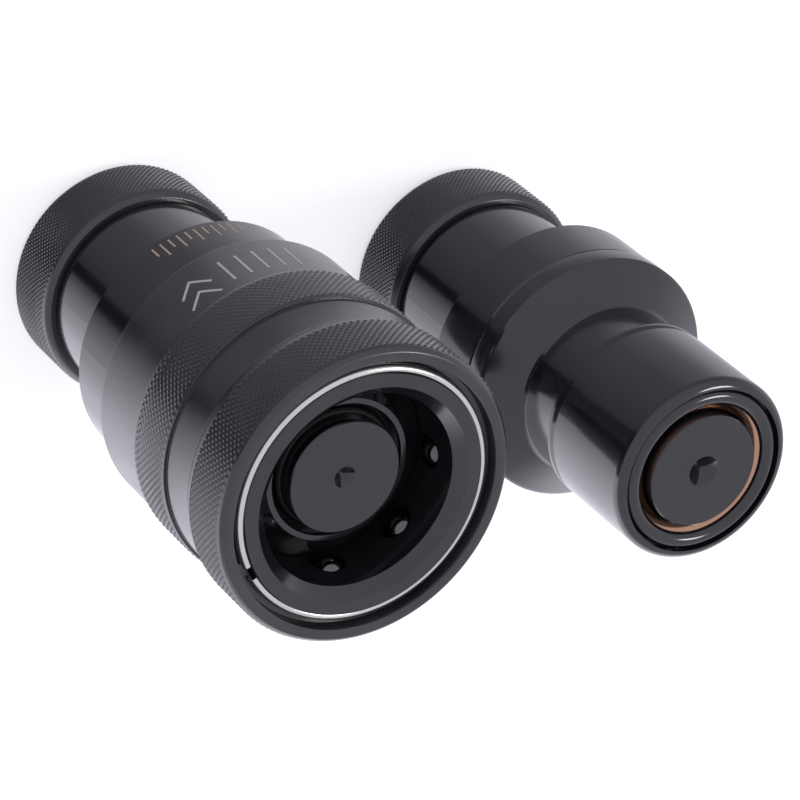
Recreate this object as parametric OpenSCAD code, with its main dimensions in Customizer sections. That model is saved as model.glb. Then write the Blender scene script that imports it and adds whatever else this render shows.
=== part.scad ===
// Flat-face quick coupling for coolant hose, uncoupled: a socket half with a ball lock and a plug half.
// Both halves stand on their compression nuts, axes along +Z. Millimetres.

/* [Pair] */
// Distance between the two upright axes
pair_spacing = 34.7; // [30:0.1:60]

/* [Hose and compression nut] */
// Outer diameter of the hose that the nuts clamp
hose_od = 13; // [12:0.1:13.6]
// Bore of the hose, which sets the barb
hose_id = 10; // [9:0.1:10.6]
// Wall of the hose barb
barb_wall = 1.1; // [0.8:0.1:1.5]
// Height of the compression nut
nut_h = 6.5; // [5.6:0.1:9]
// Radius of the compression nut over its knurl
nut_r = 9.7; // [9.4:0.1:12]
// Radius of the nut's thread
nut_thread_r = 7.9; // [7.6:0.05:8.4]

/* [Hose adapter] */
// Radius of the smooth neck between nut and housing
neck_r = 8.7; // [8.65:0.05:9.2]
// Bore of the chamber inside the neck
chamber_r = 7.1; // [7.05:0.01:7.2]
// Height of the chamber floor, where the springs sit
chamber_floor = 11; // [9.5:0.1:12]
// Radius of the spigot that screws into the housing
spigot_r = 7.85; // [7.75:0.01:7.95]

/* [Seals] */
// Cord diameter of the small sealing rings
seal_cord = 0.8; // [0.6:0.05:0.85]
// Cord diameter of the ring that seals on the plug nose
bore_seal_cord = 1; // [0.8:0.05:1.1]

/* [Socket housing] */
// Overall height of the socket half
socket_h = 45; // [44:0.1:52]
// Height at which the socket neck meets its housing
socket_step_z = 16.1; // [14:0.1:16.8]
// Radius of the housing behind the release sleeve
housing_r = 11.3; // [11.1:0.05:11.35]
// Radius of the housing inside the sleeve spring
spring_land_r = 10.4; // [10.3:0.05:10.5]
// Radius of the nose that carries the balls
nose_r = 10.75; // [10.7:0.01:10.78]
// Bore that takes the plug nose
bore_r = 8.55; // [8.52:0.01:8.65]
// How far the nose face lies inside the sleeve mouth
nose_inset = 0.35; // [0.2:0.05:0.5]
// Height of the shoulder under the sleeve spring
spring_step_z = 26; // [25.6:0.1:28]
// Width of the lead-in chamfer of the bore
lead_in = 0.95; // [0.6:0.05:1.1]

/* [Ball lock] */
// Radius of a locking ball
ball_r = 1.4; // [1.3:0.01:1.4]
// Number of locking balls
ball_count = 8; // [8:1:8]
// Depth of the ball ring below the sleeve mouth
ball_depth = 5; // [4.9:0.05:5.6]
// Reach of a locked ball into the bore
ball_reach = 0.55; // [0.45:0.01:0.58]
// Travel of the release sleeve towards the nut
sleeve_travel = 2.2; // [2:0.05:2.2]

/* [Release sleeve] */
// Length of the release sleeve
sleeve_len = 22.2; // [20:0.1:24]
// Radius over the front knurl
grip_r = 13.2; // [13:0.05:15]
// Radius over the rear knurl
rear_grip_r = 12.95; // [12.8:0.05:14.5]
// Radius of the plain band and of the groove between the knurls
band_r = 12.55; // [12.45:0.05:14]
// Length of the front knurl
grip_len = 5.45; // [4.5:0.05:6]
// Length of the groove between the knurls
groove_len = 4.75; // [3.5:0.05:5.5]
// Length of the rear knurl
rear_grip_len = 5.25; // [4:0.05:6]
// Wire diameter of the sleeve spring
sleeve_wire = 0.7; // [0.5:0.05:0.7]
// Turns of the sleeve spring
sleeve_turns = 5; // [3:1:7]
// Wire diameter of the retaining ring
ring_wire = 0.8; // [0.7:0.05:0.85]
// Gap between the ends of the retaining ring
ring_gap = 1.3; // [1:0.1:4]

/* [Socket valve] */
// Radius of the flat head of the valve stem
stem_head_r = 5; // [4.9:0.01:5.05]
// Depth of the stem face below the sleeve mouth
stem_depth = 3.6; // [3.3:0.05:4]
// Radius of the stem shaft
stem_r = 1.8; // [1.5:0.05:2.2]
// Depth of the valve sleeve's lip below the mouth
lip_depth = 4.95; // [4.8:0.05:5.2]
// Length of the valve sleeve
valve_len = 4.55; // [4.4:0.05:4.6]
// Wire diameter of the valve springs
valve_wire = 0.8; // [0.6:0.05:0.9]
// Turns of the valve springs
valve_turns = 7; // [5:1:8]

/* [Plug] */
// Overall height of the plug half
plug_h = 42.6; // [42:0.1:48]
// Height at which the plug neck meets its housing
plug_step_z = 16.7; // [15:0.1:17]
// Radius of the plug's rear housing
plug_housing_r = 11.25; // [11:0.05:12]
// Radius of the collar that stops on the socket nose
collar_r = 11.35; // [11:0.05:12]
// Length of the rear housing
plug_housing_len = 5.6; // [5.2:0.1:6]
// Length of the collar
collar_len = 2.2; // [1.8:0.1:2.6]
// Length of the cone in front of the collar
cone_len = 2; // [1.6:0.1:2.2]
// Radius of the plug nose
plug_nose_r = 8.45; // [8.42:0.01:8.5]
// Radius of the lock groove
lock_groove_r = 7.85; // [7.8:0.01:7.95]
// Length of the plug nose in front of the lock groove
plug_nose_len = 11.2; // [11:0.1:11.6]
// Radius of the opening that the poppet closes
poppet_seat_r = 5.3; // [5.25:0.01:5.5]
// Length of the slotted poppet skirt
skirt_len = 7.8; // [6:0.1:8.4]

/* [Hidden] */
$fn = 96;

// Clearances
thread_gap = 0.05;      // radial, between the turned parts of a screwed joint
running_gap = 0.08;     // radial, of a sliding fit
seal_gap = 0.03;        // between a sealing ring and the wall that slides on it
hose_gap = 0.1;         // radial, of the hose in the nut's rear hole
sleeve_gap = 0.1;       // radial, of the sleeve's rear bore on the housing
ball_gap = 0.06;        // between a locked ball and the land that holds it
hole_gap = 0.04;        // radial, of a ball in its hole
stop_gap = 0.02;        // along the axis, between faces that stop a motion
bore_overlap = 1;       // how far a cutting solid runs past what it cuts
hair = 0.1;             // running cut past a coplanar face

// Colours
black = [0.20, 0.20, 0.22];
dark = [0.12, 0.12, 0.13];
steel = [0.78, 0.79, 0.80];
rubber = [0.05, 0.05, 0.05];

// Where the two halves stand: their overall width is centred on the origin
pair_width = grip_r + pair_spacing + collar_r;
socket_x = pair_width / 2 - grip_r;
plug_x = collar_r - pair_width / 2;

// Compression nut
nut_hole_r = hose_od / 2 + hose_gap;
nut_floor = 1;
nut_chamfer = 0.45;
nut_thread_z = 3.9;
nut_throat_z = 3.1;

// Hose adapter
barb_r = hose_id / 2 + 0.2;
barb_root_r = hose_id / 2 - 0.1;
barb_bore_r = barb_root_r - barb_wall;
barb_tip_z = 0.8;
barb_ring_len = 1.1;
adapter_thread_r = nut_thread_r - thread_gap;
adapter_thread_z = nut_thread_z + 0.2;
chamber_cone_z = 7.5;
neck_chamfer = 0.3;
adapter_seal_mid_r = spigot_r + seal_cord / 2;
seal_pocket_r = spigot_r + seal_cord + seal_gap;
seal_pocket_h = seal_cord + seal_gap;
socket_spigot_top = 21.5;
plug_spigot_len = 2.2;

// Socket housing
nose_face = socket_h - nose_inset;
ball_z = socket_h - ball_depth;
ring_mid_z = nose_face - ring_wire / 2 - 0.12;
ring_seat_r = nose_r - 0.25;
ring_mid_r = ring_seat_r + stop_gap + ring_wire / 2;
nose_chamfer = 0.2;
housing_chamfer = 0.3;
bore_seal_z = ball_z - 6.2;
bore_seal_groove_r = bore_r + bore_seal_cord + seal_gap - 0.05;
bore_seal_mid_r = bore_r - 0.05 + bore_seal_cord / 2;

// Ball lock: a ball moves out by ball_stroke while the sleeve travels, on a cone of the same slope
ball_mid_r = bore_r - ball_reach + ball_r;
ball_stroke = ball_reach + 0.05;
land_r = ball_mid_r + ball_r + ball_gap;
ramp_top_r = land_r + ball_stroke;
relief_r = ramp_top_r + 0.04;
ramp_top_z = ball_z + sleeve_travel;
relief_top_z = ramp_top_z + 0.5;
sleeve_lip_r = land_r + 0.04;
sleeve_lip_top = ring_mid_z - ring_wire / 2 - stop_gap / 2;
sleeve_lip_h = 0.27;
ball_hole_r = ball_r + hole_gap;
ball_turn = 360 / ball_count;
ball_phase = 9;         // angle of the first ball from +X
ring_gap_turn = 37;     // angle of the retaining ring's gap from +X

// Release sleeve
sleeve_foot = socket_h - sleeve_len;
sleeve_bore_r = housing_r + sleeve_gap;
sleeve_foot_len = 2.4;
spring_room_r = land_r + 0.79;
land_foot = ball_z - 2;
mouth_r = 11.85;
sleeve_edge = 0.2;
grip_foot = socket_h - grip_len;
rear_grip_top = grip_foot - groove_len;
rear_grip_foot = rear_grip_top - rear_grip_len;
groove_rise = 1.1;
sleeve_spring_r = nose_r + 0.12 + sleeve_wire / 2;

// Socket valve
stem_face = socket_h - stem_depth;
stem_head_h = 1.5;
stem_neck_z = stem_face - 4.2;
stem_cone_z = stem_face - 6.8;
seat_bore_r = stem_head_r + 0.25;
stem_seal_z = stem_face - stem_head_h - seal_cord / 2 - 0.1;
stem_seal_mid_r = seat_bore_r - seal_gap - seal_cord / 2;
stem_groove_r = stem_seal_mid_r - seal_cord / 2;
spider_h = 1.6;
spider_r = chamber_r - running_gap;
spider_ring_r = 5.6;
spider_hub_r = stem_r + 0.9;
spider_arm_w = 1.7;
spider_arms = 3;
dimple_r = 0.95;
dimple_depth = 1.0;
lip_z = socket_h - lip_depth;
valve_foot = lip_z - valve_len;
valve_r = bore_r - running_gap;
valve_lip_r = 6.35;
valve_mouth_r = 5.9;
valve_throat_r = 6.6;
valve_seal_z = valve_foot + 1.6;
valve_seal_mid_r = bore_r - seal_gap - seal_cord / 2;
valve_spring_r = chamber_r - 0.2 - valve_wire / 2;

// Plug
plug_housing_top = plug_step_z + plug_housing_len;
collar_top = plug_housing_top + collar_len;
cone_top = collar_top + cone_len;
plug_nose_foot = plug_h - plug_nose_len;
cone_foot_r = collar_r - 0.25;
cone_tip_r = 8.1;
plug_spigot_r = 9.4;
plug_spigot_foot = plug_step_z + plug_spigot_len + 0.2;
joint_seal_mid_r = plug_spigot_r + seal_cord / 2;
joint_pocket_r = plug_spigot_r + seal_cord + seal_gap;
plug_bore_r = chamber_r - 0.1;
rim_round = 0.9;
rim_flat_r = plug_nose_r - rim_round;
rim_line = 0.16;
bead_r = 0.75;
bead_mid_r = rim_flat_r - rim_line / 2 - bead_r;
seat_cone_top = plug_h - 3;
seat_mouth_z = plug_h - 1.2;

// Poppet
poppet_r = poppet_seat_r - 0.15;
skirt_r = plug_bore_r - running_gap;
skirt_top = seat_cone_top - 2;
skirt_foot = skirt_top - skirt_len;
skirt_bore_r = 5.9;
poppet_seal_z = plug_h - 2;
poppet_seal_mid_r = poppet_seat_r - seal_gap - seal_cord / 2;
poppet_spring_r = skirt_bore_r - 0.4 - valve_wire / 2;
poppet_floor = skirt_top + 0.4;
poppet_slots = 4;
slot_w = 3.6;
poppet_dimple_r = 1.4;
poppet_dimple_depth = 1.8;

// A ring of round section, lying flat
module seal_ring(mid_r, z, cord) {
    translate([0, 0, z])
        rotate_extrude()
            translate([mid_r, 0])
                circle(d = cord, $fn = 32);
}

// A tube with square ends, or a plain groove when it is cut away
module tube(outer_r, inner_r, foot, top) {
    translate([0, 0, foot])
        difference() {
            cylinder(r = outer_r, h = top - foot);
            translate([0, 0, -bore_overlap])
                cylinder(r = inner_r, h = top - foot + 2 * bore_overlap);
        }
}

// A compression spring of round wire with closed ends, from foot to top
function spring_lift(turn, turns, wire) =
    let (closed = 0.75, free = turns - 2 * closed)
    turn < closed ? 0
    : turn > turns - closed ? 1
    : (turn - closed) / free;

module coil_spring(mid_r, wire, turns, foot, top, steps = 16) {
    sides = 8;
    rings = turns * steps;
    rise = top - foot - 2 * wire;
    closed_rise = wire * 0.5;
    points = [
        for (i = [0:rings])
            let (
                turn = i / steps,
                lift = spring_lift(turn, turns, wire),
                end = min(turn, 0.75) / 0.75 + max(0, turn - turns + 0.75) / 0.75,
                z = foot + wire / 2 + closed_rise * end + lift * rise
            )
            for (k = [0:sides - 1])
                let (
                    a = 360 * k / sides,
                    r = mid_r + wire / 2 * cos(a)
                )
                [r * cos(360 * turn), r * sin(360 * turn), z + wire / 2 * sin(a)]
    ];
    walls = [
        for (i = [0:rings - 1])
            for (k = [0:sides - 1])
                let (next = (k + 1) % sides)
                [i * sides + k, (i + 1) * sides + k, (i + 1) * sides + next, i * sides + next]
    ];
    first_cap = [for (k = [0:sides - 1]) k];
    last_cap = [for (k = [sides - 1:-1:0]) rings * sides + k];
    polyhedron(points = points, faces = concat(walls, [first_cap, last_cap]), convexity = 8);
}

// Compression nut: a rear hole for the hose, a cone that squeezes it, and a thread in front
module compression_nut() {
    rotate_extrude()
        polygon([
            [nut_hole_r, 0],
            [nut_r - nut_chamfer, 0],
            [nut_r, nut_chamfer],
            [nut_r, nut_h - nut_chamfer],
            [nut_r - nut_chamfer, nut_h],
            [nut_thread_r, nut_h],
            [nut_thread_r, nut_thread_z],
            [nut_hole_r + nut_floor / 2, nut_throat_z],
            [nut_hole_r, nut_floor]
        ]);
}

// Hose adapter: barb, thread for the nut, neck with the spring chamber, and the spigot on top
module hose_adapter(step_z, spigot_top) {
    barb_rise = barb_ring_len;
    barb_foot = barb_tip_z;
    rotate_extrude()
        polygon([
            [barb_bore_r, barb_foot],
            [barb_root_r - neck_chamfer, barb_foot],
            [barb_r, barb_foot + barb_rise],
            [barb_root_r, barb_foot + barb_rise],
            [barb_r, barb_foot + 2 * barb_rise],
            [barb_root_r, barb_foot + 2 * barb_rise],
            [barb_root_r, adapter_thread_z],
            [adapter_thread_r - neck_chamfer, adapter_thread_z],
            [adapter_thread_r, adapter_thread_z + neck_chamfer],
            [adapter_thread_r, nut_h + stop_gap],
            [neck_r - neck_chamfer, nut_h + stop_gap],
            [neck_r, nut_h + stop_gap + neck_chamfer],
            [neck_r, step_z],
            [spigot_r, step_z],
            [spigot_r, spigot_top],
            [chamber_r, spigot_top],
            [chamber_r, chamber_floor],
            [barb_bore_r + 0.6, chamber_floor],
            [barb_bore_r, chamber_cone_z]
        ]);
}

module socket_nut() {
    color(dark)
        translate([socket_x, 0, 0])
            compression_nut();
}

module socket_hose_adapter() {
    color(black)
        translate([socket_x, 0, 0])
            hose_adapter(socket_step_z, socket_spigot_top);
}

module socket_adapter_seal() {
    color(rubber)
        translate([socket_x, 0, 0])
            seal_ring(adapter_seal_mid_r, socket_step_z + seal_cord / 2, seal_cord);
}

// Socket housing: rear drum, spring land, and the nose with its ball holes and ring groove
module socket_body() {
    color(black)
        translate([socket_x, 0, 0])
            difference() {
                rotate_extrude()
                    polygon([
                        [spigot_r + thread_gap, socket_step_z + seal_pocket_h],
                        [seal_pocket_r, socket_step_z + seal_pocket_h],
                        [seal_pocket_r, socket_step_z],
                        [housing_r - housing_chamfer, socket_step_z],
                        [housing_r, socket_step_z + housing_chamfer],
                        [housing_r, spring_step_z],
                        [spring_land_r, spring_step_z],
                        [spring_land_r, land_foot - sleeve_travel],
                        [nose_r, land_foot - sleeve_travel + nose_r - spring_land_r],
                        [nose_r, ring_mid_z - ring_wire / 2],
                        [ring_seat_r, ring_mid_z - ring_wire / 2],
                        [ring_seat_r, ring_mid_z + ring_wire / 2],
                        [nose_r, ring_mid_z + ring_wire / 2],
                        [nose_r - nose_chamfer / 2, nose_face],
                        [bore_r + lead_in, nose_face],
                        [bore_r, nose_face - lead_in],
                        [bore_r, socket_spigot_top + stop_gap],
                        [spigot_r + thread_gap, socket_spigot_top + stop_gap]
                    ]);
                tube(bore_seal_groove_r, bore_r - hair,
                     bore_seal_z - bore_seal_cord / 2 - seal_gap,
                     bore_seal_z + bore_seal_cord / 2 + seal_gap);
                for (i = [0:ball_count - 1])
                    rotate([0, 0, ball_phase + i * ball_turn])
                        translate([bore_r - bore_overlap, 0, ball_z])
                            rotate([0, 90, 0])
                                cylinder(r = ball_hole_r, h = nose_r - bore_r + 2 * bore_overlap, $fn = 48);
            }
}

module bore_seal() {
    color(rubber)
        translate([socket_x, 0, 0])
            seal_ring(bore_seal_mid_r, bore_seal_z, bore_seal_cord);
}

// Release sleeve: two knurled bands with a groove between them; inside, from the rear, the bore on the
// housing, the room for the spring, the land that holds the balls, their ramp and relief, and the lip
// that stops on the retaining ring
module release_sleeve() {
    color(dark)
        translate([socket_x, 0, 0])
            rotate_extrude()
                polygon([
                    [sleeve_bore_r, sleeve_foot],
                    [band_r - sleeve_edge, sleeve_foot],
                    [band_r, sleeve_foot + sleeve_edge],
                    [band_r, rear_grip_foot],
                    [rear_grip_r, rear_grip_foot + rear_grip_r - band_r],
                    [rear_grip_r, rear_grip_top - rear_grip_r + band_r],
                    [band_r, rear_grip_top],
                    [band_r, grip_foot - groove_rise],
                    [grip_r - sleeve_edge, grip_foot],
                    [grip_r, grip_foot + sleeve_edge],
                    [grip_r, socket_h - sleeve_edge],
                    [grip_r - sleeve_edge, socket_h],
                    [mouth_r, socket_h],
                    [mouth_r, sleeve_lip_top],
                    [sleeve_lip_r, sleeve_lip_top],
                    [sleeve_lip_r, sleeve_lip_top - sleeve_lip_h],
                    [relief_r, relief_top_z],
                    [relief_r, ramp_top_z],
                    [land_r, ball_z],
                    [land_r, land_foot],
                    [spring_room_r, land_foot],
                    [spring_room_r, sleeve_foot + sleeve_foot_len],
                    [sleeve_bore_r, sleeve_foot + sleeve_foot_len]
                ]);
}

module sleeve_spring() {
    color(steel)
        translate([socket_x, 0, 0])
            coil_spring(sleeve_spring_r, sleeve_wire, sleeve_turns, spring_step_z, land_foot, 24);
}

// Open ring of round wire that stops the sleeve
module retaining_ring() {
    color(steel)
        translate([socket_x, 0, 0])
            difference() {
                seal_ring(ring_mid_r, ring_mid_z, ring_wire);
                rotate([0, 0, ring_gap_turn])
                    translate([0, -ring_gap / 2, ring_mid_z - ring_wire])
                        cube([grip_r, ring_gap, 2 * ring_wire]);
            }
}

module lock_ball(index) {
    color(steel)
        translate([socket_x, 0, 0])
            rotate([0, 0, ball_phase + (index - 1) * ball_turn])
                translate([ball_mid_r, 0, ball_z])
                    sphere(r = ball_r, $fn = 48);
}

// Fixed valve stem: a flat dimpled head, a sealing groove, a shaft, and a three-armed foot
module valve_stem() {
    color(black)
        translate([socket_x, 0, 0])
            union() {
                rotate_extrude()
                    polygon([
                        [0, chamber_floor + stop_gap],
                        [spider_hub_r, chamber_floor + stop_gap],
                        [spider_hub_r, chamber_floor + spider_h],
                        [stem_r, chamber_floor + 2 * spider_h],
                        [stem_r, stem_cone_z],
                        [stem_head_r - neck_chamfer, stem_neck_z],
                        [stem_head_r, stem_neck_z + neck_chamfer],
                        [stem_head_r, stem_seal_z - seal_cord / 2 - seal_gap],
                        [stem_groove_r, stem_seal_z - seal_cord / 2 - seal_gap],
                        [stem_groove_r, stem_seal_z + seal_cord / 2 + seal_gap],
                        [stem_head_r, stem_seal_z + seal_cord / 2 + seal_gap],
                        [stem_head_r, stem_face - sleeve_edge / 2],
                        [stem_head_r - sleeve_edge / 2, stem_face],
                        [dimple_r, stem_face],
                        [0, stem_face - dimple_depth]
                    ]);
                tube(spider_r, spider_ring_r, chamber_floor + stop_gap, chamber_floor + spider_h);
                for (i = [0:spider_arms - 1])
                    rotate([0, 0, i * 360 / spider_arms])
                        translate([spider_hub_r / 2, -spider_arm_w / 2, chamber_floor + stop_gap])
                            cube([spider_ring_r - spider_hub_r / 2 + neck_chamfer, spider_arm_w,
                                  spider_h - stop_gap]);
            }
}

module stem_seal() {
    color(rubber)
        translate([socket_x, 0, 0])
            seal_ring(stem_seal_mid_r, stem_seal_z, seal_cord);
}

// Valve sleeve: a ring that slides on the stem's seal, with a coned front
module valve_sleeve() {
    color(black)
        translate([socket_x, 0, 0])
            rotate_extrude()
                polygon([
                    [valve_throat_r, valve_foot],
                    [valve_r, valve_foot],
                    [valve_r, valve_seal_z - seal_cord / 2 - seal_gap],
                    [valve_seal_mid_r - seal_cord / 2, valve_seal_z - seal_cord / 2 - seal_gap],
                    [valve_seal_mid_r - seal_cord / 2, valve_seal_z + seal_cord / 2 + seal_gap],
                    [valve_r, valve_seal_z + seal_cord / 2 + seal_gap],
                    [valve_r, lip_z - 1.6],
                    [valve_lip_r, lip_z],
                    [valve_mouth_r, lip_z],
                    [valve_mouth_r, lip_z - 0.5],
                    [seat_bore_r, lip_z - 0.9],
                    [seat_bore_r, valve_foot + 2.4],
                    [valve_throat_r, valve_foot + 1]
                ]);
}

module valve_sleeve_seal() {
    color(rubber)
        translate([socket_x, 0, 0])
            seal_ring(valve_seal_mid_r, valve_seal_z, seal_cord);
}

module valve_spring() {
    color(steel)
        translate([socket_x, 0, 0])
            coil_spring(valve_spring_r, valve_wire, valve_turns, chamber_floor + spider_h, valve_foot);
}

module plug_nut() {
    color(dark)
        translate([plug_x, 0, 0])
            compression_nut();
}

module plug_hose_adapter() {
    color(black)
        translate([plug_x, 0, 0])
            hose_adapter(plug_step_z, plug_step_z + plug_spigot_len);
}

module plug_adapter_seal() {
    color(rubber)
        translate([plug_x, 0, 0])
            seal_ring(adapter_seal_mid_r, plug_step_z + seal_cord / 2, seal_cord);
}

// Rear housing of the plug, which joins the adapter to the nose body
module plug_rear_housing() {
    color(black)
        translate([plug_x, 0, 0])
            rotate_extrude()
                polygon([
                    [spigot_r + thread_gap, plug_step_z + seal_pocket_h],
                    [seal_pocket_r, plug_step_z + seal_pocket_h],
                    [seal_pocket_r, plug_step_z],
                    [plug_housing_r - housing_chamfer, plug_step_z],
                    [plug_housing_r, plug_step_z + housing_chamfer],
                    [plug_housing_r, plug_housing_top - nose_chamfer],
                    [plug_housing_r - nose_chamfer, plug_housing_top],
                    [joint_pocket_r, plug_housing_top],
                    [joint_pocket_r, plug_housing_top - seal_pocket_h],
                    [plug_spigot_r + thread_gap, plug_housing_top - seal_pocket_h],
                    [plug_spigot_r + thread_gap, plug_spigot_foot - stop_gap],
                    [spigot_r + thread_gap, plug_spigot_foot - stop_gap]
                ]);
}

module plug_joint_seal() {
    color(rubber)
        translate([plug_x, 0, 0])
            seal_ring(joint_seal_mid_r, plug_housing_top - seal_cord / 2, seal_cord);
}

// Plug body: spigot, collar, cone, lock groove and nose; its rim is rounded and holds a raised bead
module plug_body() {
    color(black)
        translate([plug_x, 0, 0])
            rotate_extrude()
                union() {
                    polygon([
                        [plug_bore_r, plug_spigot_foot],
                        [plug_spigot_r, plug_spigot_foot],
                        [plug_spigot_r, plug_housing_top],
                        [collar_r - nose_chamfer, plug_housing_top],
                        [collar_r, plug_housing_top + nose_chamfer],
                        [collar_r, collar_top - nose_chamfer],
                        [cone_foot_r, collar_top],
                        [cone_tip_r, cone_top],
                        [lock_groove_r, cone_top + cone_tip_r - lock_groove_r],
                        [lock_groove_r, plug_nose_foot - plug_nose_r + lock_groove_r],
                        [plug_nose_r, plug_nose_foot],
                        [plug_nose_r, plug_h - rim_round],
                        [rim_flat_r, plug_h - rim_round],
                        [bead_mid_r - bead_r, plug_h - bead_r],
                        [poppet_seat_r, seat_mouth_z],
                        [poppet_seat_r, seat_cone_top],
                        [plug_bore_r, seat_cone_top - plug_bore_r + poppet_seat_r]
                    ]);
                    intersection() {
                        translate([rim_flat_r, plug_h - rim_round])
                            circle(r = rim_round, $fn = 48);
                        translate([rim_flat_r, plug_h - rim_round])
                            square(rim_round);
                    }
                    translate([bead_mid_r, plug_h - bead_r])
                        circle(r = bead_r, $fn = 48);
                }
}

// Poppet: a flat dimpled face, a sealing groove, a cone that stops in the seat, and a slotted skirt
module poppet() {
    color(black)
        translate([plug_x, 0, 0])
            difference() {
                rotate_extrude()
                    polygon([
                        [0, poppet_floor],
                        [skirt_bore_r - 0.6, poppet_floor],
                        [skirt_bore_r, poppet_floor - 0.6],
                        [skirt_bore_r, skirt_foot],
                        [skirt_r, skirt_foot],
                        [skirt_r, skirt_top],
                        [poppet_r, skirt_top + skirt_r - poppet_r],
                        [poppet_r, poppet_seal_z - seal_cord / 2 - seal_gap],
                        [poppet_seal_mid_r - seal_cord / 2, poppet_seal_z - seal_cord / 2 - seal_gap],
                        [poppet_seal_mid_r - seal_cord / 2, poppet_seal_z + seal_cord / 2 + seal_gap],
                        [poppet_r, poppet_seal_z + seal_cord / 2 + seal_gap],
                        [poppet_r, plug_h - sleeve_edge / 2],
                        [poppet_r - sleeve_edge / 2, plug_h],
                        [poppet_dimple_r, plug_h],
                        [0, plug_h - poppet_dimple_depth]
                    ]);
                for (i = [0:poppet_slots / 2 - 1])
                    rotate([0, 0, i * 360 / poppet_slots])
                        translate([-skirt_r - bore_overlap, -slot_w / 2, skirt_foot + 1.6])
                            cube([2 * skirt_r + 2 * bore_overlap, slot_w, skirt_len - 3.6]);
            }
}

module poppet_seal() {
    color(rubber)
        translate([plug_x, 0, 0])
            seal_ring(poppet_seal_mid_r, poppet_seal_z, seal_cord);
}

module poppet_spring() {
    color(steel)
        translate([plug_x, 0, 0])
            coil_spring(poppet_spring_r, valve_wire, valve_turns, chamber_floor, poppet_floor);
}

socket_nut();
socket_hose_adapter();
socket_adapter_seal();
socket_body();
bore_seal();
release_sleeve();
sleeve_spring();
retaining_ring();
lock_ball(1);  // lock_ball_1
lock_ball(2);  // lock_ball_2
lock_ball(3);  // lock_ball_3
lock_ball(4);  // lock_ball_4
lock_ball(5);  // lock_ball_5
lock_ball(6);  // lock_ball_6
lock_ball(7);  // lock_ball_7
lock_ball(8);  // lock_ball_8
valve_stem();
stem_seal();
valve_sleeve();
valve_sleeve_seal();
valve_spring();
plug_nut();
plug_hose_adapter();
plug_adapter_seal();
plug_rear_housing();
plug_joint_seal();
plug_body();
poppet();
poppet_seal();
poppet_spring();
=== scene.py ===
"""Looks for the flat-face quick coupling pair, in the CAD model's frame. Places are in metres,
outlines and the sizes of knurls, coils and marks in millimetres."""

import math

import bpy
from mathutils import Matrix, Vector


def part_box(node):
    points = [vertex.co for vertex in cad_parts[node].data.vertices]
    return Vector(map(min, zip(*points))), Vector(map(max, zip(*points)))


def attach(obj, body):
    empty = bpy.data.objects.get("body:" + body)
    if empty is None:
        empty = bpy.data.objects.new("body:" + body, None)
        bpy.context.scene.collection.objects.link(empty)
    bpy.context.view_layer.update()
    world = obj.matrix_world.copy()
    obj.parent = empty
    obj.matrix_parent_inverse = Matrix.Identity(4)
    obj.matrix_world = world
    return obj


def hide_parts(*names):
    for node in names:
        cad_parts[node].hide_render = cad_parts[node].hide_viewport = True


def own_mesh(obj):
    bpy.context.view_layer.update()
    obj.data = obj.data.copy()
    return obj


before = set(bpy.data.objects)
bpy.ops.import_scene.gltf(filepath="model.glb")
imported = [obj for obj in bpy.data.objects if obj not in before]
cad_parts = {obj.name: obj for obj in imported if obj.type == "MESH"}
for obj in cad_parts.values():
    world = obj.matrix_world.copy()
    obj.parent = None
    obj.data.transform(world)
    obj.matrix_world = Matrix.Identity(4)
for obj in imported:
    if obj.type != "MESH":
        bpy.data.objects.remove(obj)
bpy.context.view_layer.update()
MM = 0.001


def node_axis_x(node):
    """X of a turned node's axis, in metres."""
    low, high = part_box(node)
    return (low.x + high.x) / 2


SOCKET_X = node_axis_x("socket_body")
PLUG_X = node_axis_x("plug_body")

# ---------------------------------------------------------------- camera
VIEW_AZIMUTH = -34.7      # degrees from +X, of the direction from the object to the camera
VIEW_ELEVATION = 48.89
VIEW_ROLL = -131.2
VIEW_DISTANCE = 0.36
VIEW_TARGET = Vector((0.0005, 0.0019, 0.0240))
LENS_MM = 191.14


def make_camera():
    azimuth, elevation, roll = (math.radians(a) for a in (VIEW_AZIMUTH, VIEW_ELEVATION, VIEW_ROLL))
    back = Vector((math.cos(elevation) * math.cos(azimuth),
                   math.cos(elevation) * math.sin(azimuth), math.sin(elevation)))
    level_right = Vector((-math.sin(azimuth), math.cos(azimuth), 0))
    level_up = back.cross(level_right)
    right = level_right * math.cos(roll) - level_up * math.sin(roll)
    up = level_up * math.cos(roll) + level_right * math.sin(roll)
    turn = Matrix((right, up, back)).transposed().to_4x4()
    data = bpy.data.cameras.new("camera")
    data.lens = LENS_MM
    data.sensor_width = 36
    data.clip_start = 0.01
    data.clip_end = 20
    camera = bpy.data.objects.new("camera", data)
    camera.matrix_world = Matrix.Translation(VIEW_TARGET + back * VIEW_DISTANCE) @ turn
    bpy.context.collection.objects.link(camera)
    bpy.context.scene.camera = camera


make_camera()


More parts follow.
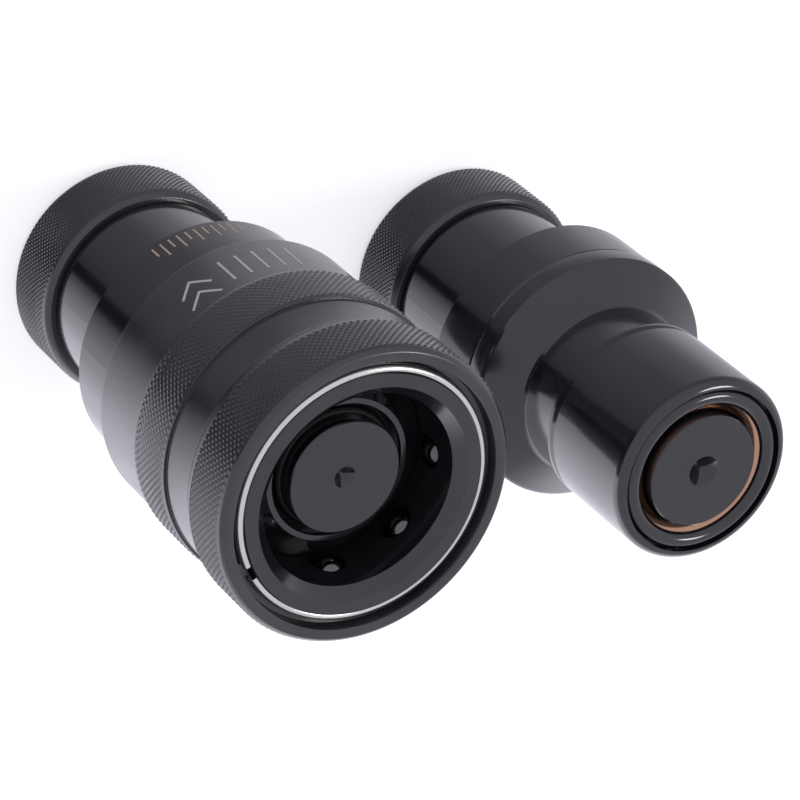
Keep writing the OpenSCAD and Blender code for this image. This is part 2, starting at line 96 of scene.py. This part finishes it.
# ---------------------------------------------------------------- materials
class Tree:
    """A few calls that keep node trees short."""

    def __init__(self, tree):
        self.tree = tree
        self.tree.nodes.clear()

    def add(self, kind, operation=None):
        node = self.tree.nodes.new(kind)
        if operation:
            node.operation = operation
        return node

    def put(self, node, socket, value):
        """A link where value is a socket, a constant otherwise."""
        target = node.inputs[socket]
        if isinstance(value, bpy.types.NodeSocket):
            self.tree.links.new(value, target)
        else:
            target.default_value = value

    def math(self, operation, a, b=0.0, clamp=False):
        node = self.add("ShaderNodeMath", operation=operation)
        node.use_clamp = clamp
        self.put(node, 0, a)
        self.put(node, 1, b)
        return node.outputs[0]

    def ramp(self, fac, stops, smooth=False):
        node = self.add("ShaderNodeValToRGB")
        ramp = node.color_ramp
        ramp.interpolation = "EASE" if smooth else "LINEAR"
        while len(ramp.elements) > 1:
            ramp.elements.remove(ramp.elements[-1])
        ramp.elements[0].position, ramp.elements[0].color = stops[0][0], rgba(stops[0][1])
        for position, colour in stops[1:]:
            element = ramp.elements.new(position)
            element.color = rgba(colour)
        self.put(node, "Fac", fac)
        return node.outputs["Color"]

    def noise(self, vector, scale, detail=2.0, roughness=0.5):
        node = self.add("ShaderNodeTexNoise")
        self.put(node, "Vector", vector)
        self.put(node, "Scale", scale)
        self.put(node, "Detail", detail)
        self.put(node, "Roughness", roughness)
        return node.outputs["Fac"]

    def stretch(self, vector, scale):
        node = self.add("ShaderNodeMapping")
        self.put(node, "Vector", vector)
        self.put(node, "Scale", scale)
        return node.outputs["Vector"]

    def span(self, value, low, high, to_low, to_high, smooth=False):
        node = self.add("ShaderNodeMapRange")
        node.interpolation_type = "SMOOTHSTEP" if smooth else "LINEAR"
        for socket, number in (("Value", value), ("From Min", low), ("From Max", high),
                               ("To Min", to_low), ("To Max", to_high)):
            self.put(node, socket, number)
        return node.outputs["Result"]

    def mix(self, fac, a, b):
        node = self.add("ShaderNodeMix")
        node.data_type = "RGBA"
        self.put(node, "Factor", fac)
        self.put(node, 6, rgba(a))
        self.put(node, 7, rgba(b))
        return node.outputs[2]

    def bump(self, height, strength, distance):
        node = self.add("ShaderNodeBump")
        self.put(node, "Height", height)
        self.put(node, "Strength", strength)
        self.put(node, "Distance", distance)
        return node.outputs["Normal"]

    def point(self):
        return self.add("ShaderNodeTexCoord").outputs["Object"]


def rgba(colour):
    if isinstance(colour, bpy.types.NodeSocket):
        return colour
    if isinstance(colour, (int, float)):
        return (colour, colour, colour, 1.0)
    return (*colour, 1.0) if len(colour) == 3 else tuple(colour)


def principled(name):
    material = bpy.data.materials.new(name)
    material.use_nodes = True
    tree = Tree(material.node_tree)
    shader = tree.add("ShaderNodeBsdfPrincipled")
    out = tree.add("ShaderNodeOutputMaterial")
    tree.tree.links.new(shader.outputs["BSDF"], out.inputs["Surface"])
    return material, tree, shader


def anodised(name, colour, roughness, turned=0.08, axis_x=0.0, ior=1.75):
    """Hard black oxide on turned aluminium: cloudy gloss, fine turning lines and a few rubbed specks."""
    material, tree, shader = principled(name)
    point = tree.point()
    offset = tree.add("ShaderNodeVectorMath", operation="SUBTRACT")
    tree.put(offset, 0, point)
    tree.put(offset, 1, (axis_x, 0.0, 0.0))
    around = offset.outputs[0]
    cloud = tree.noise(around, 160.0, 3.0, 0.55)
    fine = tree.noise(around, 2600.0, 2.0, 0.6)
    tone = tree.span(cloud, 0.3, 0.7, 0.85, 1.2)
    speck = tree.span(fine, 0.74, 0.80, 0.0, 1.0)
    base = tree.mix(tree.math("MULTIPLY", speck, 0.5), tree.mix(tree.span(cloud, 0.3, 0.7, 0.0, 1.0),
                    tuple(c * 0.75 for c in colour), tuple(c * 1.3 for c in colour)),
                    tuple(min(1.0, c * 4) for c in colour))
    tree.put(shader, "Base Color", base)
    tree.put(shader, "Roughness", tree.math("MULTIPLY", tree.math("ADD", tree.math("MULTIPLY", fine, 0.06),
                                                                  roughness - 0.03), tone))
    tree.put(shader, "IOR", ior)
    # turning lines run round the axis, so the height depends on radius and z alone
    split = tree.add("ShaderNodeSeparateXYZ")
    tree.put(split, 0, around)
    square_x = tree.math("MULTIPLY", split.outputs[0], split.outputs[0])
    square_y = tree.math("MULTIPLY", split.outputs[1], split.outputs[1])
    radius = tree.math("POWER", tree.math("ADD", square_x, square_y), 0.5)
    join = tree.add("ShaderNodeCombineXYZ")
    tree.put(join, 0, radius)
    tree.put(join, 2, split.outputs[2])
    lines = tree.noise(join.outputs[0], 9000.0, 2.0, 0.7)
    height = tree.math("ADD", tree.math("MULTIPLY", lines, 0.8), tree.math("MULTIPLY", fine, 0.2))
    tree.put(shader, "Normal", tree.bump(height, turned, 0.000004))
    return material


def bright_steel(name, colour, roughness, scale=6000.0):
    """Drawn or polished steel: metallic, with faint streaks and clouds in its gloss."""
    material, tree, shader = principled(name)
    point = tree.point()
    cloud = tree.noise(point, 400.0, 3.0, 0.6)
    streak = tree.noise(tree.stretch(point, (1.0, 1.0, 8.0)), scale, 2.0, 0.6)
    tree.put(shader, "Base Color", tree.mix(cloud, tuple(c * 0.85 for c in colour), colour))
    tree.put(shader, "Metallic", 1.0)
    tree.put(shader, "Roughness", tree.span(streak, 0.2, 0.8, roughness * 0.7, roughness * 1.5))
    tree.put(shader, "Normal", tree.bump(streak, 0.15, 0.000003))
    return material


def rubber(name):
    material, tree, shader = principled(name)
    point = tree.point()
    fine = tree.noise(point, 5000.0, 3.0, 0.6)
    tree.put(shader, "Base Color", tree.mix(fine, (0.008, 0.008, 0.008), (0.022, 0.022, 0.022)))
    tree.put(shader, "Roughness", tree.span(fine, 0.2, 0.8, 0.45, 0.65))
    tree.put(shader, "Normal", tree.bump(fine, 0.3, 0.00001))
    return material


def etched(name, colour):
    """A laser mark: the oxide is taken off and the pale metal shows, slightly speckled."""
    material, tree, shader = principled(name)
    point = tree.point()
    fine = tree.noise(point, 8000.0, 3.0, 0.7)
    tree.put(shader, "Base Color", tree.mix(tree.span(fine, 0.3, 0.7, 0.0, 1.0),
                                            tuple(c * 0.7 for c in colour), colour))
    tree.put(shader, "Roughness", tree.span(fine, 0.2, 0.8, 0.45, 0.7))
    tree.put(shader, "Metallic", 0.3)
    tree.put(shader, "Normal", tree.bump(fine, 0.3, 0.000006))
    return material


BLACK = (0.0105, 0.0100, 0.0125)
socket_black = anodised("socket_black", BLACK, 0.11, axis_x=SOCKET_X)
plug_black = anodised("plug_black", BLACK, 0.11, axis_x=PLUG_X)
knurl_black = anodised("knurl_black", (0.022, 0.0205, 0.0245), 0.24, turned=0.05, axis_x=SOCKET_X)
nut_black = anodised("nut_black", (0.022, 0.0205, 0.0245), 0.24, turned=0.05, axis_x=PLUG_X)
ring_steel = bright_steel("ring_steel", (0.86, 0.84, 0.80), 0.16)
# the lock balls' steel is painted dark: painted shade standing in for the dark bore round the balls, which they
# would reflect
ball_steel_painted_shade = bright_steel("ball_steel_painted_shade", (0.17, 0.16, 0.16), 0.10)
wire_steel = bright_steel("wire_steel", (0.66, 0.66, 0.67), 0.22)
seal_rubber = rubber("seal_rubber")
seat_copper = bright_steel("seat_copper", (0.62, 0.36, 0.24), 0.14)
mark_silver = etched("mark_silver", (0.62, 0.60, 0.57))
mark_copper = etched("mark_copper", (0.62, 0.47, 0.36))

PAINT = {
    "socket_hose_adapter": socket_black, "socket_body": socket_black, "valve_stem": socket_black,
    "valve_sleeve": socket_black, "plug_hose_adapter": plug_black, "plug_rear_housing": plug_black,
    "plug_body": plug_black, "poppet": plug_black, "retaining_ring": ring_steel,
}


def paint_node(name, node):
    if name in PAINT:
        material = PAINT[name]
    elif name.startswith("lock_ball"):
        material = ball_steel_painted_shade
    elif name.endswith("_seal"):
        material = seal_rubber
    else:
        material = wire_steel if name.endswith("_spring") else knurl_black
    for index in range(len(node.material_slots)):
        node.material_slots[index].material = material


for node_name, node_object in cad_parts.items():
    paint_node(node_name, node_object)


# ---------------------------------------------------------------- mesh helpers
def new_piece(name, vertices, faces, material, body, replaced=(), smooth_angle=32.0):
    mesh = bpy.data.meshes.new(name)
    mesh.from_pydata(vertices, [], faces)
    mesh.validate()
    mesh.materials.append(material)
    mesh.shade_smooth()
    mesh.set_sharp_from_angle(angle=math.radians(smooth_angle))
    piece = bpy.data.objects.new(name, mesh)
    bpy.context.collection.objects.link(piece)
    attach(piece, body)
    if replaced:
        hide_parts(*replaced)
    return piece


def rounded(profile, radius, steps=3):
    """The closed profile with each corner replaced by a small arc."""
    out = []
    count = len(profile)
    for i in range(count):
        before, here, after = (Vector(profile[(i + k) % count]) for k in (-1, 0, 1))
        a, b = before - here, after - here
        reach = min(radius, a.length * 0.35, b.length * 0.35)
        start, end = here + a.normalized() * reach, here + b.normalized() * reach
        for k in range(steps + 1):
            t = k / steps
            out.append(((1 - t) ** 2 * start + 2 * t * (1 - t) * here + t * t * end)[:])
    return out


HAIR = 1e-4
ROWS_PER_PITCH = 4
CORNER = 0.12             # mm, rounding of the turned edges
KNURL_FLAT = 0.7          # share of the ridge height at which a diamond is cut flat


def knurl_height(turn, z, band):
    """Height of a diamond knurl: two crossing sets of V grooves with narrow flats on top, fading out
    at both ends."""
    _, low, high, teeth, pitch, depth = band
    ridge = min(1 - abs((turn * teeth + side * z / pitch) % 1 * 2 - 1) for side in (1, -1))
    fade = min(1, (z - low) / (pitch * 0.4), (high - z) / (pitch * 0.4))
    return depth * min(1, ridge / KNURL_FLAT) * max(0, fade)



def lathe(name, profile, axis_x, material, body, replaced=(), bands=(), segments=192,
          smooth_angle=32.0):
    """Turns a closed profile of (radius, z) in mm. Each band (radius, low, high, teeth, pitch, depth) is
    knurled: the profile's straight edge on that radius between those heights is cut into rows that carry
    the diamonds."""
    rows = []
    for (r0, z0), (r1, z1) in zip(profile, profile[1:] + profile[:1]):
        rows.append((r0, z0, None))
        for band in bands:
            radius, low, high, _, pitch, _ = band
            if abs(r0 - radius) < HAIR and abs(r1 - radius) < HAIR and abs(z1 - z0) > (high - low) * 0.8:
                steps = round((high - low) / (pitch / ROWS_PER_PITCH))
                order = range(1, steps) if z1 > z0 else range(steps - 1, 0, -1)
                rows += [(radius, low + (high - low) * k / steps, band) for k in order]
    vertices, faces = [], []
    for r, z, band in rows:
        for s in range(segments):
            turn = s / segments
            reach = r + knurl_height(turn, z, band) if band else r
            a = 2 * math.pi * turn
            vertices.append((axis_x + reach * math.cos(a) * MM, reach * math.sin(a) * MM, z * MM))
    for i in range(len(rows)):
        j = (i + 1) % len(rows)
        for s in range(segments):
            t = (s + 1) % segments
            faces.append((i * segments + s, i * segments + t, j * segments + t, j * segments + s))
    return new_piece(name, vertices, faces, material, body, replaced, smooth_angle)


# ---------------------------------------------------------------- knurled pieces
# Release sleeve, in mm: the same outline as the CAD piece, with the two bands knurled
sleeve_low, sleeve_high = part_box("release_sleeve")
SLEEVE_FOOT, SLEEVE_TOP = sleeve_low.z / MM, sleeve_high.z / MM
GRIP_R = (sleeve_high.x - sleeve_low.x) / 2 / MM
BAND_R = GRIP_R - 0.65
REAR_GRIP_R = GRIP_R - 0.25
GRIP_FOOT = SLEEVE_TOP - 5.45
REAR_TOP = GRIP_FOOT - 4.75
REAR_FOOT = REAR_TOP - 5.25
SLEEVE_BORE_R = 11.4
ROOM_R = 11.65
LAND_R = 10.86
RELIEF_R = 11.5
LIP_R = 10.9
MOUTH_R = 11.85
LAND_FOOT = SLEEVE_TOP - 7
LIP_TOP = SLEEVE_TOP - 1.28
EDGE = 0.2
FRONT_EDGE = 0.35
SLEEVE_TEETH = 132
SLEEVE_PITCH = 0.62
SLEEVE_DEPTH = 0.14

grip_root = GRIP_R - SLEEVE_DEPTH
rear_root = REAR_GRIP_R - SLEEVE_DEPTH
sleeve_profile = rounded([
    (SLEEVE_BORE_R, SLEEVE_FOOT), (BAND_R - EDGE, SLEEVE_FOOT), (BAND_R, SLEEVE_FOOT + EDGE),
    (BAND_R, REAR_FOOT), (rear_root, REAR_FOOT), (rear_root, REAR_TOP), (BAND_R, REAR_TOP),
    (BAND_R, GRIP_FOOT - 1.1), (grip_root, GRIP_FOOT), (grip_root, SLEEVE_TOP - FRONT_EDGE),
    (grip_root - FRONT_EDGE, SLEEVE_TOP), (MOUTH_R, SLEEVE_TOP),
    (MOUTH_R, LIP_TOP), (LIP_R, LIP_TOP), (LIP_R, LIP_TOP - 0.27), (RELIEF_R, SLEEVE_TOP - 2.3),
    (RELIEF_R, SLEEVE_TOP - 2.8), (LAND_R, SLEEVE_TOP - 5), (LAND_R, LAND_FOOT), (ROOM_R, LAND_FOOT),
    (ROOM_R, SLEEVE_FOOT + 2.4), (SLEEVE_BORE_R, SLEEVE_FOOT + 2.4),
], CORNER)
lathe("sleeve", sleeve_profile, SOCKET_X, knurl_black, "sleeve", ("release_sleeve",),
      bands=((grip_root, GRIP_FOOT + CORNER, SLEEVE_TOP - FRONT_EDGE - 0.02,
              SLEEVE_TEETH, SLEEVE_PITCH, SLEEVE_DEPTH),
             (rear_root, REAR_FOOT + CORNER, REAR_TOP - CORNER,
              SLEEVE_TEETH, SLEEVE_PITCH, SLEEVE_DEPTH)),
      segments=SLEEVE_TEETH * 4)

# Compression nuts, in mm
NUT_TEETH = 124
NUT_PITCH = 0.5
NUT_DEPTH = 0.12
NUT_CHAMFER = 0.45


def knurled_nut(node, axis_x, material, body):
    low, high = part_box(node)
    top = high.z / MM
    root = (high.x - low.x) / 2 / MM - NUT_DEPTH
    profile = rounded([
        (6.6, 0), (root - NUT_CHAMFER, 0), (root, NUT_CHAMFER), (root, top - NUT_CHAMFER),
        (root - NUT_CHAMFER, top), (7.9, top), (7.9, 3.9), (7.1, 3.1), (6.6, 1),
    ], CORNER)
    lathe(node + "_knurled", profile, axis_x, material, body, (node,),
          bands=((root, NUT_CHAMFER + CORNER / 2, top - NUT_CHAMFER - CORNER / 2,
                  NUT_TEETH, NUT_PITCH, NUT_DEPTH),),
          segments=NUT_TEETH * 4)


knurled_nut("socket_nut", SOCKET_X, knurl_black, "nut_of_socket")
knurled_nut("plug_nut", PLUG_X, nut_black, "nut_of_plug")


# Plug body, in mm: the CAD outline with rounded edges, a turned line near the foot of the nose, and the short
# bright cone that leads from the bead down to the poppet
body_low, body_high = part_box("plug_body")
PLUG_FOOT, PLUG_TOP = body_low.z / MM, body_high.z / MM
COLLAR_R = (body_high.x - body_low.x) / 2 / MM
PLUG_NOSE_R = 8.45
RIM_ROUND = 0.9
RIM_FLAT_R = PLUG_NOSE_R - RIM_ROUND
RIM_LINE = 0.16
BEAD_R = 0.75
BEAD_MID_R = RIM_FLAT_R - RIM_LINE / 2 - BEAD_R
SEAT_R = 5.3
NOSE_FOOT = PLUG_TOP - 11.2
COLLAR_TOP = PLUG_TOP - 18.1
COLLAR_FOOT = COLLAR_TOP - 2.2
CONE_TOP = COLLAR_TOP + 2
GROOVE_R = 7.85


def arc(r, z, radius, start, end, steps):
    """Points on an arc about (r, z), from one angle to another in degrees."""
    angles = [math.radians(start + (end - start) * k / steps) for k in range(steps + 1)]
    return [(r + radius * math.cos(a), z + radius * math.sin(a)) for a in angles]


plug_profile = rounded([
    (7.0, PLUG_FOOT), (9.4, PLUG_FOOT), (9.4, COLLAR_FOOT), (COLLAR_R - EDGE, COLLAR_FOOT),
    (COLLAR_R, COLLAR_FOOT + EDGE), (COLLAR_R, COLLAR_TOP - EDGE), (COLLAR_R - 0.25, COLLAR_TOP),
    (8.1, CONE_TOP), (GROOVE_R, CONE_TOP + 0.25), (GROOVE_R, NOSE_FOOT - 0.6), (PLUG_NOSE_R, NOSE_FOOT),
    (PLUG_NOSE_R, NOSE_FOOT + 0.35), (PLUG_NOSE_R - 0.2, NOSE_FOOT + 0.85), (PLUG_NOSE_R, NOSE_FOOT + 1.0),
], 0.05) + arc(RIM_FLAT_R, PLUG_TOP - RIM_ROUND, RIM_ROUND, 0, 90, 12) + [
    (RIM_FLAT_R, PLUG_TOP - RIM_ROUND), (RIM_FLAT_R - RIM_LINE, PLUG_TOP - RIM_ROUND),
] + arc(BEAD_MID_R, PLUG_TOP - BEAD_R, BEAD_R, 15, 168, 14) + [
    (SEAT_R + 0.08, PLUG_TOP - 0.95), (SEAT_R, PLUG_TOP - 1.03), (SEAT_R, PLUG_TOP - 3), (7.0, PLUG_TOP - 4.7),
]
plug_turned = lathe("plug_body_turned", plug_profile, PLUG_X, plug_black, "halves", ("plug_body",),
                    segments=256, smooth_angle=28.0)
# the cone round the poppet is polished bare, with a warm tint
plug_turned.data.materials.append(seat_copper)
for face in plug_turned.data.polygons:
    reach = math.hypot(face.center.x - PLUG_X, face.center.y) / MM
    if SEAT_R + 0.06 < reach < BEAD_MID_R - BEAD_R + 0.02 and face.center.z / MM > PLUG_TOP - 1:
        face.material_index = 1


# ---------------------------------------------------------------- springs
def coil(node, axis_x, turns, wire):
    """A closed-ended compression spring."""
    low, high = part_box(node)
    mid_r = (high.x - low.x) / 2 / MM - wire / 2
    foot, top = low.z / MM, high.z / MM
    sides, steps, closed = 10, 28, 0.75
    rise = top - foot - 2 * wire
    vertices, faces = [], []
    rings = int(turns * steps)
    for i in range(rings + 1):
        turn = i / steps
        lift = min(1, max(0, (turn - closed) / (turns - 2 * closed)))
        ends = min(turn, closed) / closed + max(0, turn - turns + closed) / closed
        z = foot + wire / 2 + wire * 0.5 * ends + lift * rise
        for k in range(sides):
            a, b = 2 * math.pi * turn, 2 * math.pi * k / sides
            r = mid_r + wire / 2 * math.cos(b)
            vertices.append((axis_x + r * math.cos(a) * MM, r * math.sin(a) * MM,
                             (z + wire / 2 * math.sin(b)) * MM))
    for i in range(rings):
        for k in range(sides):
            n = (k + 1) % sides
            faces.append((i * sides + k, (i + 1) * sides + k, (i + 1) * sides + n, i * sides + n))
    faces += [tuple(range(sides)), tuple(reversed(range(rings * sides, (rings + 1) * sides)))]
    piece = new_piece(node + "_coil", vertices, faces, wire_steel, "halves", (node,), 60.0)
    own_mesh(piece)


coil("sleeve_spring", SOCKET_X, 5, 0.7)
coil("valve_spring", SOCKET_X, 7, 0.8)
coil("poppet_spring", PLUG_X, 7, 0.8)


# ---------------------------------------------------------------- marks
def strokes(name, lines, radius, width, material, body, axis_x):
    """Thin marks on a cylinder: each line is a run of (angle in degrees, z in mm), drawn with square ends."""
    vertices, faces = [], []
    for line in lines:
        flat = [Vector((math.radians(a) * radius, z)) for a, z in line]
        for start, end in zip(flat, flat[1:]):
            along = (end - start).normalized()
            side = Vector((-along.y, along.x)) * width / 2
            start, end = start - along * width / 2, end + along * width / 2
            steps = max(1, math.ceil((end - start).length / 0.25))
            base = len(vertices)
            for k in range(steps + 1):
                middle = start.lerp(end, k / steps)
                for p in (middle - side, middle + side):
                    a = p.x / radius
                    vertices.append((axis_x + radius * math.cos(a) * MM, radius * math.sin(a) * MM, p.y * MM))
            faces += [(base + 2 * k, base + 2 * k + 2, base + 2 * k + 3, base + 2 * k + 1) for k in range(steps)]
    return new_piece(name, vertices, faces, material, body)


CHEVRON_TURN = -50.5      # degrees from +X
CHEVRON_HALF = 6.2
CHEVRON_LEN = 1.35
MARK_LIFT = 0.012         # mm, how far a mark stands off its cylinder
MARK_R = BAND_R + MARK_LIFT
BODY_R = 11.3


def chevron(z):
    return [(CHEVRON_TURN - CHEVRON_HALF, z + CHEVRON_LEN), (CHEVRON_TURN, z),
            (CHEVRON_TURN + CHEVRON_HALF, z + CHEVRON_LEN)]


sleeve_tick_lines = [[(-64 - 7 * k, 24.9), (-64 - 7 * k, 27.9)] for k in range(5)]
body_tick_lines = [[(-52 - 4 * k, 17.0), (-52 - 4 * k, 18.9 if k % 2 else 18.2)] for k in range(11)]
strokes("sleeve_arrows", [chevron(25.2), chevron(27.0)], MARK_R, 0.26, mark_silver,
        "sleeve", SOCKET_X)
strokes("sleeve_ticks", sleeve_tick_lines, MARK_R, 0.22, mark_silver, "sleeve", SOCKET_X)
strokes("body_ticks", body_tick_lines, BODY_R + MARK_LIFT, 0.16, mark_copper, "halves", SOCKET_X)


# ---------------------------------------------------------------- floor, world and lamps
FLOOR_HALF = 1.5
FLOOR_GLOW = 0.55
TABLE_EDGE = -5.0         # degrees from +X, where the table's dark edge stands
TOP_LIGHT = 0.72
LIGHT_TINT = (0.94, 0.93, 1.03)


def make_floor():
    half = FLOOR_HALF
    mesh = bpy.data.meshes.new("floor")
    mesh.from_pydata([(-half, -half, 0), (half, -half, 0), (half, half, 0), (-half, half, 0)], [], [(0, 1, 2, 3)])
    material = bpy.data.materials.new("floor_paper")
    material.use_nodes = True
    tree = Tree(material.node_tree)
    out = tree.add("ShaderNodeOutputMaterial")
    paper = tree.add("ShaderNodeBsdfDiffuse")
    grain = tree.noise(tree.point(), 900.0, 3.0, 0.6)
    tree.put(paper, "Color", tree.mix(grain, (0.86, 0.86, 0.86), (0.90, 0.90, 0.90)))
    glow = tree.add("ShaderNodeEmission")
    path = tree.add("ShaderNodeLightPath")
    seen = tree.math("MAXIMUM", path.outputs["Is Camera Ray"], path.outputs["Is Glossy Ray"])
    seen = tree.math("MAXIMUM", seen, path.outputs["Is Transmission Ray"])
    tree.put(glow, "Strength", tree.math("MULTIPLY", seen, FLOOR_GLOW))
    both = tree.add("ShaderNodeAddShader")
    tree.put(both, 0, paper.outputs[0])
    tree.put(both, 1, glow.outputs[0])
    tree.put(out, "Surface", both.outputs[0])
    mesh.materials.append(material)
    floor = bpy.data.objects.new("floor", mesh)
    bpy.context.collection.objects.link(floor)
    floor.visible_glossy = False



def make_world():
    """White for the camera. For light and reflections, a studio: a white table on one side, its dark edge,
    a grey room behind the camera, a bright window side, and a soft even top."""
    world = bpy.data.worlds.new("studio")
    world.use_nodes = True
    bpy.context.scene.world = world
    tree = Tree(world.node_tree)
    out = tree.add("ShaderNodeOutputWorld")
    direction = tree.add("ShaderNodeTexCoord").outputs["Generated"]

    def lean(x, y, z=0.0):
        node = tree.add("ShaderNodeVectorMath", operation="DOT_PRODUCT")
        tree.put(node, 0, direction)
        tree.put(node, 1, (x, y, z))
        return node.outputs["Value"]

    turn = math.radians(TABLE_EDGE)
    across = tree.span(lean(-math.sin(turn), math.cos(turn)), -1.0, 1.0, 0.0, 1.0)
    edge_side = tree.ramp(across, [(0.0, 0.45), (0.20, 0.40), (0.40, 0.26), (0.455, 0.20), (0.475, 0.02),
                                   (0.525, 0.02), (0.56, 0.45), (0.63, 1.0), (0.72, 1.6), (0.80, 2.1), (1.0, 2.2)])
    far_side = tree.ramp(across, [(0.0, 0.4), (0.18, 0.55), (0.30, 0.95), (0.45, 0.85), (0.60, 0.85),
                                  (0.75, 1.4), (0.85, 1.9), (1.0, 2.0)])
    split = tree.span(lean(math.cos(turn), math.sin(turn)), -0.15, 0.15, 0.0, 1.0, smooth=True)
    low_light = tree.mix(split, far_side, edge_side)
    top = tree.span(lean(0.0, 0.0, 1.0), -0.05, 0.35, 0.0, 1.0, smooth=True)
    tone = tree.add("ShaderNodeMix")
    tone.data_type = "RGBA"
    tone.blend_type = "MULTIPLY"
    tree.put(tone, "Factor", 1.0)
    tree.put(tone, 6, tree.mix(top, low_light, TOP_LIGHT))
    tree.put(tone, 7, rgba(LIGHT_TINT))
    studio = tree.add("ShaderNodeBackground")
    tree.put(studio, "Color", tone.outputs[2])
    white = tree.add("ShaderNodeBackground")
    path = tree.add("ShaderNodeLightPath")
    choose = tree.add("ShaderNodeMixShader")
    tree.put(choose, 0, path.outputs["Is Camera Ray"])
    tree.put(choose, 1, studio.outputs[0])
    tree.put(choose, 2, white.outputs[0])
    tree.put(out, "Surface", choose.outputs[0])
    tree.put(white, "Color", rgba(1.0))


make_floor()
make_world()


def soft_lamp(name, place, aim, size, power):
    data = bpy.data.lights.new(name, "AREA")
    data.shape = "DISK"
    data.size = size
    data.energy = power
    lamp = bpy.data.objects.new(name, data)
    lamp.location = place
    lamp.rotation_euler = (Vector(aim) - Vector(place)).to_track_quat("-Z", "Y").to_euler()
    bpy.context.collection.objects.link(lamp)


soft_lamp("key", (-0.35, -0.10, 0.55), (0, 0, 0.02), 0.16, 0.6)

scene = bpy.context.scene
scene.view_settings.view_transform = "Standard"
